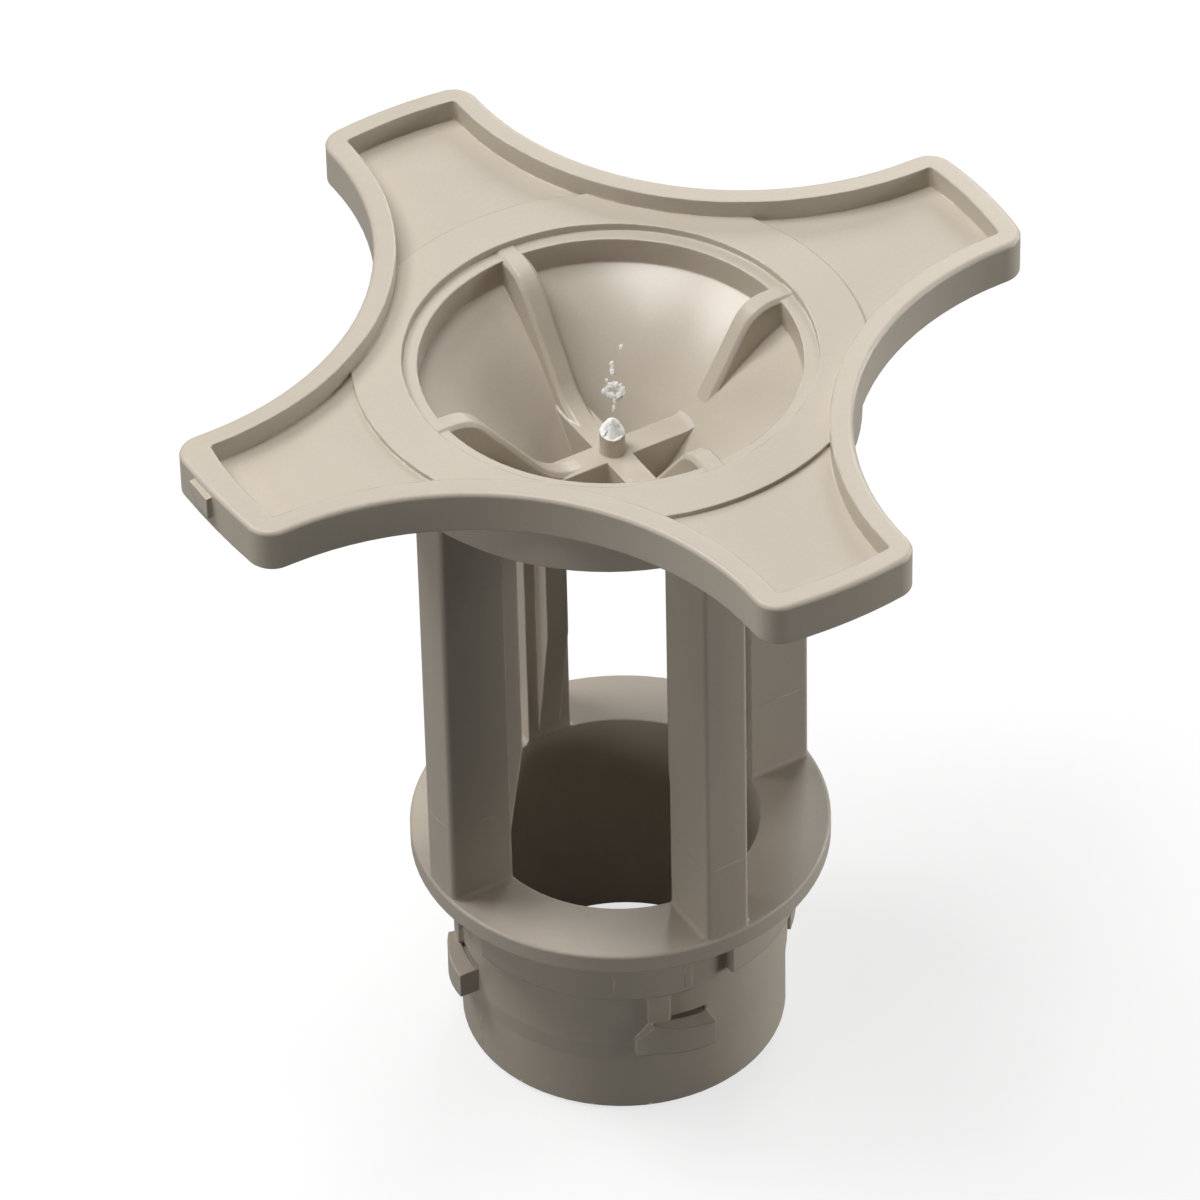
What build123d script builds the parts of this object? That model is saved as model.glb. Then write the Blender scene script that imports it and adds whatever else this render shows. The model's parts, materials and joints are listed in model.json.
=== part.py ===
"""Dishwasher wash arm holder: a one-piece injection moulding.

A four-armed star cap with a raised rim carries a ribbed funnel in its centre. Four legs with
inner webs hang a round flange under the cap, and below the flange a hollow spigot carries a
collar in four segments, four stop posts and four one-way bayonet lugs. The plastic was fed at
the hub of the funnel, where the broken gate still stands.

Millimetres, +Z up. The origin is the centre of the spigot's bottom rim. The four arms and the
four legs lie on the X and Y axes.
"""

from build123d import *
from math import cos, radians, sin, sqrt, tan
import os

# Pattern
arm_count = 4
pitch = 360.0 / arm_count

# Levels above the bottom rim of the spigot
overall_height = 86.0
flange_top = 25.1

# Star cap
tip_radius = 42.6
tip_arc_radius = 45.0
arm_half_width = 8.3
arm_end_length = 2.9
arm_corner_radius = 2.6
star_wall_height = 4.6
rim_width = 2.2
rim_top_round = 0.5
rim_bottom_bevel = 0.25
arm_floor_depth = 2.3
underside_recess = 0.7
disc_radius = 24.7
disc_rise = 0.45

# One arm is a little longer than the others, most of all at one corner, and has a small
# wedge-shaped tab on its end
long_arm_extra = 0.45
long_corner_extra = 1.2
tab_width = 3.3
tab_offset = 1.8
tab_top_depth = 0.7
tab_height = 2.3
tab_thin_height = 0.9
tab_proud = 0.6

# Funnel in the middle of the star
ring_radius = 19.85
ledge_depth = 2.6
throat_radius = 18.4
throat_depth = 5.4
knee_radius = 8.3
knee_depth = 13.85
cone_angle = 51.0
pit_radius = 3.0
funnel_wall = 1.9

# Four ribs down the funnel: three run out into the cross bars, and the one at +X is steeper
# and stops short on the cone
rib_thickness = 2.4
rib_depth = 2.4
rib_crest_radius = 17.6
rib_nose_round = 4.0
rib_edge_bevel = 0.4
rib_slope = 52.0
rib_toe_round = 6.0
short_rib_slope = 61.0

# Cross bars of the hub
bar_thickness = 2.8
bar_blend = 2.0

# Broken gate on the hub
gate_diameter = 2.5
gate_height = 2.4
gate_tear_angle = 16.0

# Drum under the star
drum_inset = 0.45
drum_depth = 9.0
drum_wall = 2.0
drum_edge_bevel = 0.3

# Legs and their inner webs
leg_thickness = 4.8
leg_inset = 0.25
leg_inner_reach = 0.15
leg_round = 0.5
leg_foot_round = 0.45
web_thickness = 2.4
web_reach = 2.4
web_taper_height = 15.0

# Flange, spigot and bore
flange_radius = 21.0
flange_thickness = 2.3
flange_round = 0.3
flange_bottom_bevel = 0.25
bore_radius = 14.0
spigot_wall = 2.6
nose_relief = 0.2
nose_length = 6.8
nose_run = 2.2
nose_bevel = 0.4

# Collar segments and stop posts; angles run back from the axis of each arm
collar_proud = 1.1
collar_height = 6.6
collar_gap = 15.0
post_start = 22.0
post_end = 14.7
post_proud = 0.5
post_height = 4.6
post_foot_round = 0.9

# Bayonet lugs: a square end near the arm's axis and a drooping, pointed leading end
lug_start = 26.5
lug_end = 1.0
lug_bottom = 9.0
lug_height = 2.8
lug_crest = 0.4
lug_droop = 1.4
lug_tip_height = 1.8
lug_proud = 2.1
lug_middle_proud = 1.75
lug_tip_proud = 0.4
slit_height = 0.5
slit_depth = 1.2

# Derived levels and radii
half_pitch = radians(pitch / 2)
star_bottom = overall_height - star_wall_height
plate_bottom = star_bottom + underside_recess
arm_floor = overall_height - arm_floor_depth
disc_top = arm_floor + disc_rise
ledge_level = overall_height - ledge_depth
throat_level = overall_height - throat_depth
knee_level = overall_height - knee_depth
pit_level = knee_level - (knee_radius - pit_radius) * tan(radians(cone_angle))
drum_bottom = overall_height - drum_depth
flange_bottom = flange_top - flange_thickness
spigot_radius = bore_radius + spigot_wall
nose_radius = spigot_radius - nose_relief
collar_radius = spigot_radius + collar_proud
collar_bottom = flange_bottom - collar_height
post_bottom = collar_bottom - post_height
lug_top = lug_bottom + lug_height
lug_radius = spigot_radius + lug_proud
leg_radius = flange_radius - leg_inset
web_radius = bore_radius - web_reach
bond = 0.5


def polar(radius, angle):
    """Point of the XY plane at a radius and an angle in degrees."""
    return (radius * cos(radians(angle)), radius * sin(radians(angle)))


def turned(point, angle):
    """Point of the XY plane turned about the origin by an angle in degrees."""
    x, y = point
    c = cos(radians(angle))
    s = sin(radians(angle))
    return (x * c - y * s, x * s + y * c)


def around(shape):
    """Copies of a shape about Z, one for each arm."""
    return [Rot(0, 0, k * pitch) * shape for k in range(arm_count)]


def raised(face, bottom, top):
    """Straight solid of a face drawn on XY, between two levels."""
    return extrude(Pos(0, 0, bottom) * face, top - bottom)


def cylinder(radius, bottom, top):
    """Solid cylinder about Z between two levels."""
    return raised(Circle(radius), bottom, top)


def turn_profile(face):
    """Solid of revolution of a face drawn as radius and height."""
    return revolve(Plane.XZ * face, Axis.Z, 360)


def ring_sector(inner, outer, start, end):
    """Face of a ring between two radii and two angles in degrees."""
    middle = (start + end) / 2
    outline = [
        ThreePointArc(polar(inner, start), polar(inner, middle), polar(inner, end)),
        Line(polar(inner, end), polar(outer, end)),
        ThreePointArc(polar(outer, end), polar(outer, middle), polar(outer, start)),
        Line(polar(outer, start), polar(inner, start)),
    ]
    return make_face(outline)


def at_level(shape, level):
    """Edges of a shape that lie flat at one level."""
    return shape.edges().filter_by_position(Axis.Z, level - 0.001, level + 0.001)


def eased(shape, level, radius):
    """Top edge of a shape rounded to a radius in three flats that touch the round."""
    first = radius * (2 - sqrt(2))
    shape = chamfer(at_level(shape, level), first)
    edges = at_level(shape, level) + at_level(shape, level - first)
    return chamfer(edges, radius * tan(radians(11.25)) / sin(radians(67.5)))


def nearest(face, point):
    """Corner of a drawn face nearest to a point."""
    return face.vertices().sort_by_distance(point)[0]


# Star outline: each arm ends in a shallow arc and a short straight side, and a concave arc
# tangent to both sides joins it to the next arm.
corner_x = tip_radius - (tip_arc_radius - sqrt(tip_arc_radius**2 - arm_half_width**2))
root_x = corner_x - arm_end_length
waist_arc_radius = root_x * tan(half_pitch) - arm_half_width
waist_radius = root_x / cos(half_pitch) - waist_arc_radius
drum_radius = waist_radius - drum_inset


def star_outline(end_extra, corner_extra):
    """Face of the star whose arm along -X is longer by two extras: end and back corner."""
    edges = []
    for k in range(arm_count):
        longer = end_extra if 2 * k == arm_count else 0
        back = corner_extra if 2 * k == arm_count else 0
        right = (corner_x + back, -arm_half_width)
        left = (corner_x + longer, arm_half_width)
        root = (root_x, arm_half_width)
        next_root = turned((root_x, -arm_half_width), pitch)
        arm = [
            Line((root_x, -arm_half_width), right),
            ThreePointArc(right, (tip_radius + longer, 0), left),
            Line(left, root),
            ThreePointArc(root, polar(waist_radius, pitch / 2), next_root),
        ]
        edges += [Rot(0, 0, k * pitch) * edge for edge in arm]
    face = make_face(edges)
    corners = face.vertices().sort_by_distance((0, 0))[-2 * arm_count :]
    return fillet(corners, min(arm_corner_radius, 0.9 * arm_end_length))


star_face = star_outline(long_arm_extra, long_corner_extra)
recess_face = offset(star_outline(0, 0), -rim_width)

# Star cap: rimmed tray with a raised disc, hollowed a little underneath
star = raised(star_face, star_bottom, overall_height)
star = eased(star, overall_height, rim_top_round)
star = chamfer(at_level(star, star_bottom), rim_bottom_bevel)
star -= raised(recess_face, arm_floor, overall_height)
star -= raised(recess_face, star_bottom, plate_bottom)
star += raised(recess_face & Circle(disc_radius), arm_floor - bond, disc_top)

# Tab on the end of the arm that points along -X: thinner towards the back corner
tab_top = overall_height - tab_top_depth
tab_face = make_face(
    Polyline(
        (tab_offset - tab_width / 2, tab_top),
        (tab_offset + tab_width / 2, tab_top),
        (tab_offset + tab_width / 2, tab_top - tab_thin_height),
        (tab_offset, tab_top - tab_height),
        (tab_offset - tab_width / 2, tab_top - tab_height),
        close=True,
    )
)
tab_reach = tip_radius + long_arm_extra + tab_proud
star += Pos(-tab_reach, 0, 0) * extrude(Plane.YZ * tab_face, tab_proud + rim_width / 2)

# Funnel: ring step, upright throat, an arc that ends tangent to a cone, and the pit
mouth = (0, overall_height + bond)
ring_mouth = (ring_radius, overall_height + bond)
ring_foot = (ring_radius, ledge_level)
throat_top = (throat_radius, ledge_level)
throat_foot = (throat_radius, throat_level)
knee = (knee_radius, knee_level)
pit = (pit_radius, pit_level)
cone_run = (cos(radians(cone_angle)), sin(radians(cone_angle)))
funnel_face = make_face(
    [
        Polyline(mouth, ring_mouth, ring_foot, throat_top, throat_foot),
        TangentArc(knee, throat_foot, tangent=cone_run),
        Polyline(knee, pit, (0, pit_level), mouth),
    ]
)
funnel_void = turn_profile(funnel_face)


def funnel_within(thickness, top):
    """Funnel filled solid, with its outside a thickness away from it, up to a level."""
    side = thickness * cone_run[1]
    drop = thickness * cone_run[0]
    bottom = pit_level - thickness
    outside_pit = pit_radius + side - (thickness - drop) / tan(radians(cone_angle))
    outside_knee = (knee_radius + side, knee_level - drop)
    outside_throat = (throat_radius + thickness, throat_level - thickness / 2)
    return turn_profile(
        make_face(
            [
                Polyline((0, top), (0, bottom), (outside_pit, bottom), outside_knee),
                TangentArc(outside_knee, outside_throat, tangent=cone_run),
                Polyline(
                    outside_throat,
                    (throat_radius + thickness, ledge_level - thickness),
                    (ring_radius + thickness, ledge_level - thickness),
                    (ring_radius + thickness, top),
                    (0, top),
                ),
            ]
        )
    )


funnel_body = funnel_within(funnel_wall, arm_floor)
funnel_fill = funnel_within(funnel_wall / 2, arm_floor)

# Drum: a skirt round the funnel under the star
drum = cylinder(drum_radius, drum_bottom, plate_bottom + bond)
drum -= cylinder(drum_radius - drum_wall, drum_bottom, plate_bottom)
drum = chamfer(at_level(drum, drum_bottom), min(drum_edge_bevel, drum_wall / 3))

# Legs: flat slabs with rounded outer edges, joined to the drum at their tops, and a thin web
# inside each that tapers away towards the flange
leg_inner = bore_radius - leg_inner_reach
leg_strip = Pos(leg_inner + flange_radius, 0) * Rectangle(2 * flange_radius, leg_thickness)
leg_face = leg_strip & Circle(leg_radius)
leg_face = fillet(leg_face.vertices().sort_by_distance((0, 0))[-2:], leg_round)
leg = raised(leg_face, flange_top - bond, plate_bottom + bond)
half_leg = leg_thickness / 2
foot_face = make_face(
    [
        Polyline(
            (half_leg, leg_foot_round),
            (half_leg - bond, leg_foot_round),
            (half_leg - bond, -bond),
            (half_leg + leg_foot_round, -bond),
            (half_leg + leg_foot_round, 0),
        ),
        ThreePointArc(
            (half_leg + leg_foot_round, 0),
            (half_leg + leg_foot_round * (1 - sqrt(0.5)), leg_foot_round * (1 - sqrt(0.5))),
            (half_leg, leg_foot_round),
        ),
    ]
)
foot_length = leg_radius - leg_round - leg_inner
foot = Pos(leg_inner, 0, flange_top) * extrude(Plane.YZ * foot_face, foot_length)
leg += [foot, mirror(foot, Plane.XZ)]
crown_face = leg_strip & Circle(drum_radius - drum_wall / 2)
crown = raised(crown_face, drum_bottom + drum_wall, plate_bottom + bond)
web_face = make_face(
    Polyline(
        (bore_radius + bond, flange_top),
        (bore_radius, flange_top),
        (web_radius, flange_top + web_taper_height),
        (web_radius, throat_level),
        (bore_radius + bond, throat_level),
        close=True,
    )
)
web = extrude(Plane.XZ * web_face, web_thickness / 2, both=True)

# Flange and spigot, whose nose is a little smaller as a lead-in
flange = cylinder(flange_radius, flange_bottom, flange_top)
flange = eased(flange, flange_top, flange_round)
flange = chamfer(at_level(flange, flange_bottom), flange_bottom_bevel)
nose_edge = min(nose_bevel, spigot_wall / 3)
spigot = turn_profile(
    make_face(
        Polyline(
            (0, 0),
            (nose_radius - nose_edge, 0),
            (nose_radius, nose_edge),
            (nose_radius, nose_length),
            (spigot_radius, nose_length + nose_run),
            (spigot_radius, flange_bottom + bond),
            (0, flange_bottom + bond),
            close=True,
        )
    )
)

# Collar segments and stop posts with rounded feet
inside = spigot_radius - spigot_wall / 2
collar_face = ring_sector(inside, collar_radius, collar_gap / 2, pitch - collar_gap / 2)
collar = raised(collar_face, collar_bottom, flange_bottom + bond)
post_face = ring_sector(inside, spigot_radius + post_proud, -post_start, -post_end)
post = raised(post_face, post_bottom, collar_bottom + bond)
post_width = inside * radians(post_start - post_end)
post_foot = at_level(post, post_bottom).filter_by(GeomType.LINE)
post = fillet(post_foot, min(post_foot_round, 0.45 * post_width))

# Bayonet lugs: the outline seen from outside, cut to the outline seen from above
lug_middle = (lug_start + lug_end) / 2


def along(angle):
    """Distance from the middle of the lug to an angle back from the arm's axis."""
    return lug_radius * sin(radians(lug_middle - angle))


crest_angle = (lug_start + lug_middle) / 2
lug_side = make_face(
    Polyline(
        (along(lug_end), lug_bottom),
        (along(lug_end), lug_top),
        (along(crest_angle), lug_top + lug_crest),
        (along(lug_start), lug_bottom - lug_droop + lug_tip_height),
        (along(lug_start), lug_bottom - lug_droop),
        (along(crest_angle), lug_bottom - lug_droop / 3),
        close=True,
    )
)
outward = polar(1, -lug_middle)
lug_view = Plane((0, 0, 0), x_dir=(-outward[1], outward[0], 0), z_dir=(outward[0], outward[1], 0))
lug_block = extrude(lug_view * lug_side, 2 * spigot_radius)
lug_plan = make_face(
    [
        ThreePointArc(
            polar(lug_radius, -lug_end),
            polar(spigot_radius + lug_middle_proud, -lug_middle),
            polar(spigot_radius + lug_tip_proud, -lug_start),
        ),
        Line(polar(spigot_radius + lug_tip_proud, -lug_start), polar(inside, -lug_start)),
        ThreePointArc(
            polar(inside, -lug_start), polar(inside, -lug_middle), polar(inside, -lug_end)
        ),
        Line(polar(inside, -lug_end), polar(lug_radius, -lug_end)),
    ]
)
lug = lug_block & raised(lug_plan, 0, lug_top + lug_height)
slit_face = ring_sector(spigot_radius - slit_depth, spigot_radius + bond / 2, -post_end, -lug_end)
slit = raised(slit_face, lug_top, lug_top + slit_height)

# Ribs: flat crest, rounded nose and a steep straight edge; a toe round where it meets the bar
rib_top = overall_height - rib_depth


def rib_solid(slope, toe_round):
    """Rib along +X whose inner edge falls at a slope; with a toe round it runs out at the knee."""
    nose_x = rib_crest_radius - rib_nose_round * tan(radians(slope / 2))
    foot_x = nose_x - (rib_top - knee_level) / tan(radians(slope))
    base = knee_level - 2 * bond
    corners = [(ring_radius + bond, rib_top), (nose_x, rib_top)]
    if toe_round:
        corners += [(foot_x, knee_level), (0, knee_level), (0, base)]
    else:
        corners += [(foot_x - 2 * bond / tan(radians(slope)), base)]
    face = make_face(Polyline(*corners, (ring_radius + bond, base), close=True))
    face = fillet(nearest(face, (nose_x, rib_top)), rib_nose_round)
    if toe_round:
        face = fillet(nearest(face, (foot_x, knee_level)), toe_round)
    solid = extrude(Plane.XZ * face, rib_thickness / 2, both=True)
    crest = [
        edge
        for edge in solid.edges()
        if abs(edge.center().Y) > 0.49 * rib_thickness
        and edge.center().Z > knee_level - bond
        and bond < edge.center().X < ring_radius
    ]
    return chamfer(crest, min(rib_edge_bevel, 0.4 * rib_thickness))


long_rib = rib_solid(rib_slope, rib_toe_round)
short_rib = rib_solid(short_rib_slope, 0)

# Cross bars: a flat top at the knee, blended up into the funnel
blend_run = radians(cone_angle - 4)
bar_face = make_face(
    Polyline(
        (0, knee_level),
        knee,
        (knee_radius + bar_blend * cos(blend_run), knee_level + bar_blend * sin(blend_run)),
        (knee_radius + 2 * bar_blend, knee_level),
        (knee_radius + 2 * bar_blend, pit_level - funnel_wall),
        (0, pit_level - funnel_wall),
        close=True,
    )
)
bar_face = fillet(nearest(bar_face, knee), bar_blend)
bar = extrude(Plane.XZ * bar_face, bar_thickness / 2, both=True)

# Broken gate, torn off at a slant
gate = cylinder(gate_diameter / 2, knee_level - bond, knee_level + gate_height + gate_diameter)
tear = Pos(0, 0, knee_level + gate_height) * Rot(gate_tear_angle, 0, 0) * Box(
    3 * gate_diameter, 3 * gate_diameter, 3 * gate_diameter, align=(Align.CENTER, Align.CENTER, Align.MIN)
)
gate -= tear

# The whole moulding
holder = star + drum + funnel_body + flange + spigot
for feature in (leg, crown, web, collar, post, lug):
    holder += around(feature)
holder -= funnel_void
bore = cylinder(bore_radius, 0, flange_top)
holder -= bore
holder -= around(slit)
holder += [copy & funnel_fill for copy in around(bar)]
holder += [copy & funnel_fill for copy in around(long_rib)[1:]]
holder += short_rib & funnel_fill
holder += gate

os.makedirs("parts", exist_ok=True)
export_step(holder, "parts/wash_arm_holder.step")
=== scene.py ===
"""Looks of a dishwasher wash arm holder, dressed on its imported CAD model.

The holder is one satin moulding in a warm grey plastic. This script gives it its finish and adds
what the mould and the breaking of the gate leave on the surface: the torn crown of the gate, the
whitened scars beside it, the faint lines where mould parts met on the legs, the spigot and the
collar, and small pale burrs on the spigot's rim. It also sets up the camera, the floor and the
soft lights. All lengths are in metres, in the CAD frame, and angles are in degrees.
"""

from __future__ import annotations

import json
import logging
import math
from dataclasses import dataclass, field
from enum import Enum
from typing import Iterable, Sequence

import bmesh
import bpy
from mathutils import Matrix, Vector, noise
from mathutils.bvhtree import BVHTree

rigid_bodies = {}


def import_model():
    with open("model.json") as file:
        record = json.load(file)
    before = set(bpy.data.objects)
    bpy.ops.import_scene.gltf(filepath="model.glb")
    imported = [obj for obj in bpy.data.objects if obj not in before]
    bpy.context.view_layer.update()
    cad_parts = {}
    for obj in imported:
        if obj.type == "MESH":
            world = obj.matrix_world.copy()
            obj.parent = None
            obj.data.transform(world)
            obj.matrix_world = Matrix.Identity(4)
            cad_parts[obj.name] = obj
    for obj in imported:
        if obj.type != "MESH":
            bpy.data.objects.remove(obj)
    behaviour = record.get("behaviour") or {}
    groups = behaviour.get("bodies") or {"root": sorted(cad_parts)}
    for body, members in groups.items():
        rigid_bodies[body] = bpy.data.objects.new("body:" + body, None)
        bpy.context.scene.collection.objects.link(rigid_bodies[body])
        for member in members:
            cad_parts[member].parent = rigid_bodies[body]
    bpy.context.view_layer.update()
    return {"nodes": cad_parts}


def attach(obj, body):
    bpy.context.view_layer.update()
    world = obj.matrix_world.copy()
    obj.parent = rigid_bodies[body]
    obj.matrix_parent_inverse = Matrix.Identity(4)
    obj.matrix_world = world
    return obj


LOG = logging.getLogger("wash_arm_holder")

NODE = "wash_arm_holder"
BODY = "root"
MM = 0.001

Colour = tuple[float, float, float]
Footing = tuple[Vector, Vector]


class Role(Enum):
    """What a soft light is for, which names it."""

    OVERHEAD = "overhead_softbox"
    KEY = "key_softbox"
    FILL = "fill_softbox"
    BACK_RIGHT = "back_right_softbox"
    BACK_LEFT = "back_left_softbox"
    SIDE_RIGHT = "low_right_softbox"
    SIDE_LEFT = "low_left_softbox"


class Face(Enum):
    """Which face of a round wall a mark is on, and which way along the radius it is met."""

    OUTER = -1.0
    INNER = 1.0


def polar(radius: float, angle: float, height: float) -> Vector:
    """Point at a radius, an angle and a height."""
    turn = math.radians(angle)
    return Vector((radius * math.cos(turn), radius * math.sin(turn), height))


def sightline(azimuth: float, elevation: float) -> Vector:
    """Direction from the holder to what stands at an azimuth and an elevation."""
    turn, tilt = math.radians(azimuth), math.radians(elevation)
    level = math.cos(tilt)
    return Vector((math.sin(turn) * level, -math.cos(turn) * level, math.sin(tilt)))


def shares(steps: int) -> list[float]:
    """Even shares of a length, from 0 to 1, in a number of steps."""
    return [step / steps for step in range(steps + 1)]


class NodeDesk:
    """Adds and joins the nodes of one material, world or group."""

    mix_first = 6
    mix_second = 7
    mix_result = 2

    def __init__(self, tree: bpy.types.NodeTree) -> None:
        """Takes the tree that the nodes go into."""
        self.tree = tree

    def add(self, kind: str, **settings: object) -> bpy.types.Node:
        """Adds a node.

        Args:
            kind: The node's type without its ShaderNode prefix.
            settings: Properties of the node.

        Returns:
            The new node.
        """
        node = self.tree.nodes.new(f"ShaderNode{kind}")
        for name, value in settings.items():
            setattr(node, name, value)
        return node

    def feed(self, node: bpy.types.Node, socket: str | int, value: object) -> None:
        """Links a socket's output into an input, or sets the input to a plain value.

        Args:
            node: The node that is fed.
            socket: The input's name or place.
            value: An output socket, or a number, colour or vector.
        """
        entry = node.inputs[socket]
        if isinstance(value, bpy.types.NodeSocket):
            self.tree.links.new(value, entry)
        else:
            entry.default_value = value

    def maths(self, operation: str, *values: object, clamp: bool = False) -> bpy.types.NodeSocket:
        """Adds a Math node.

        Args:
            operation: What it does with its values.
            values: Numbers or sockets, in order.
            clamp: Whether the result is kept between 0 and 1.

        Returns:
            The result's output socket.
        """
        node = self.add("Math", operation=operation, use_clamp=clamp)
        for place, value in enumerate(values):
            self.feed(node, place, value)
        return node.outputs[0]

    def swing(self, value: object, reach: float) -> bpy.types.NodeSocket:
        """Turns a noise centred on a half into one that reaches equally far both sides of zero."""
        return self.maths("MULTIPLY", self.maths("SUBTRACT", value, 0.5), 2 * reach)

    def span(self, value: object, start: float, end: float) -> bpy.types.NodeSocket:
        """Runs smoothly from 0 to 1 as a value goes from start to end.

        Args:
            value: The value that is followed.
            start: Where the result is 0.
            end: Where the result is 1.

        Returns:
            The result's output socket.
        """
        node = self.add("MapRange", interpolation_type="SMOOTHSTEP", clamp=True)
        self.feed(node, "Value", value)
        self.feed(node, "From Min", start)
        self.feed(node, "From Max", end)
        return node.outputs["Result"]

    def between(self, value: object, low: float, high: float, soft: float) -> bpy.types.NodeSocket:
        """Mask that is 1 where a value lies between two limits, with soft ends.

        Args:
            value: The value that is tested.
            low: Lower limit.
            high: Upper limit.
            soft: Length over which each end fades.

        Returns:
            The mask's output socket.
        """
        rise = self.span(value, low - soft / 2, low + soft / 2)
        fall = self.span(value, high + soft / 2, high - soft / 2)
        return self.maths("MULTIPLY", rise, fall)

    def blend(self, amount: object, first: object, second: object) -> bpy.types.NodeSocket:
        """Mixes two colours.

        Args:
            amount: How much of the second colour there is, from 0 to 1.
            first: The first colour.
            second: The second colour.

        Returns:
            The mixed colour's output socket.
        """
        node = self.add("Mix", data_type="RGBA", blend_type="MIX", clamp_factor=True)
        self.feed(node, 0, amount)
        self.feed(node, self.mix_first, first)
        self.feed(node, self.mix_second, second)
        return node.outputs[self.mix_result]

    def split(self, vector: object) -> bpy.types.NodeOutputs:
        """Takes a vector apart.

        Args:
            vector: The vector.

        Returns:
            The outputs for its X, Y and Z.
        """
        node = self.add("SeparateXYZ")
        self.feed(node, 0, vector)
        return node.outputs

    def fractal(
        self, place: object, scale: object, detail: float, twist: float = 0.0
    ) -> bpy.types.NodeSocket:
        """Adds a noise.

        Args:
            place: The coordinate that it reads.
            scale: How fine it is.
            detail: How many finer layers it has.
            twist: How much it is distorted.

        Returns:
            The noise's output socket, centred on a half.
        """
        node = self.add("TexNoise")
        self.feed(node, "Vector", place)
        self.feed(node, "Scale", scale)
        self.feed(node, "Detail", detail)
        self.feed(node, "Distortion", twist)
        return node.outputs["Fac"]

    def relief(
        self,
        shader: bpy.types.Node,
        height: object,
        strength: float,
        depth: float,
        normal: object = None,
    ) -> None:
        """Gives a shader its fine relief.

        Args:
            shader: The shader node.
            height: The relief's height.
            strength: How strongly it shows.
            depth: What a height of 1 stands for.
            normal: The normal that it is laid on, if it isn't the surface's own.
        """
        node = self.add("Bump")
        self.feed(node, "Strength", strength)
        self.feed(node, "Distance", depth)
        self.feed(node, "Height", height)
        if normal is not None:
            self.feed(node, "Normal", normal)
        self.feed(shader, "Normal", node.outputs[0])


@dataclass(frozen=True)
class GroupSocket:
    """One socket of a shared node group."""

    name: str
    kind: str
    output: bool = False
    value: float | None = None


class SharedGroup:
    """Base of the node groups that several finishes use; each is built once."""

    title: str = ""
    sockets: tuple[GroupSocket, ...] = ()

    def tree(self) -> bpy.types.NodeTree:
        """Finds the group's tree, and builds it the first time.

        Returns:
            The group's tree.
        """
        found = bpy.data.node_groups.get(self.title)
        if found is not None:
            return found
        tree = bpy.data.node_groups.new(self.title, "ShaderNodeTree")
        for entry in self.sockets:
            side = "OUTPUT" if entry.output else "INPUT"
            kind = f"NodeSocket{entry.kind}"
            made = tree.interface.new_socket(entry.name, in_out=side, socket_type=kind)
            if entry.value is not None:
                made.default_value = entry.value
        way_in = tree.nodes.new("NodeGroupInput")
        way_out = tree.nodes.new("NodeGroupOutput")
        self.wire(NodeDesk(tree), way_in.outputs, way_out)
        return tree

    def wire(self, desk: NodeDesk, given: bpy.types.NodeOutputs, way_out: bpy.types.Node) -> None:
        """Puts the group's own nodes in; each group says how."""
        raise NotImplementedError

    def place(self, desk: NodeDesk, **values: object) -> bpy.types.NodeOutputs:
        """Places the group in a material and feeds its inputs.

        Args:
            desk: The material's desk.
            values: Values or sockets by input name, with spaces as underscores.

        Returns:
            The placed group's outputs.
        """
        node = desk.add("Group", node_tree=self.tree())
        for name, value in values.items():
            desk.feed(node, name.replace("_", " "), value)
        return node.outputs


class MeltMottle(SharedGroup):
    """Faint clouds and specks that pigment and flow leave in a moulded plastic."""

    title = "melt_mottle"
    sockets = (
        GroupSocket("Cloud Scale", "Float", value=90.0),
        GroupSocket("Speck Scale", "Float", value=2200.0),
        GroupSocket("Stretch", "Float", value=1.0),
        GroupSocket("Clouds", "Float", output=True),
        GroupSocket("Specks", "Float", output=True),
    )
    cloud_detail = 3.0
    cloud_twist = 0.6
    speck_detail = 2.0

    def wire(self, desk: NodeDesk, given: bpy.types.NodeOutputs, way_out: bpy.types.Node) -> None:
        """Two noises on the piece's own coordinates, both centred on a half.

        Args:
            desk: The group's desk.
            given: The group's inputs.
            way_out: The node that takes its outputs.
        """
        place = desk.add("TexCoord").outputs["Object"]
        parts = desk.split(place)
        flow = desk.add("CombineXYZ")
        desk.feed(flow, 0, parts[0])
        desk.feed(flow, 1, parts[1])
        desk.feed(flow, 2, desk.maths("MULTIPLY", parts[2], given["Stretch"]))
        scale = given["Cloud Scale"]
        clouds = desk.fractal(flow.outputs[0], scale, self.cloud_detail, self.cloud_twist)
        specks = desk.fractal(place, given["Speck Scale"], self.speck_detail)
        desk.feed(way_out, "Clouds", clouds)
        desk.feed(way_out, "Specks", specks)


class SparkGrain(SharedGroup):
    """Fine pitted grain that a spark-eroded mould face leaves on the plastic."""

    title = "spark_grain"
    sockets = (
        GroupSocket("Pit Scale", "Float", value=3200.0),
        GroupSocket("Height", "Float", output=True),
    )
    cloud_detail = 1.0

    def wire(self, desk: NodeDesk, given: bpy.types.NodeOutputs, way_out: bpy.types.Node) -> None:
        """Small cells, made uneven by a noise of the same size.

        Args:
            desk: The group's desk.
            given: The group's inputs.
            way_out: The node that takes its outputs.
        """
        place = desk.add("TexCoord").outputs["Object"]
        cells = desk.add("TexVoronoi", feature="F1")
        desk.feed(cells, "Vector", place)
        desk.feed(cells, "Scale", given["Pit Scale"])
        cloud = desk.fractal(place, given["Pit Scale"], self.cloud_detail)
        desk.feed(way_out, "Height", desk.maths("ADD", cells.outputs["Distance"], cloud))


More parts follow.
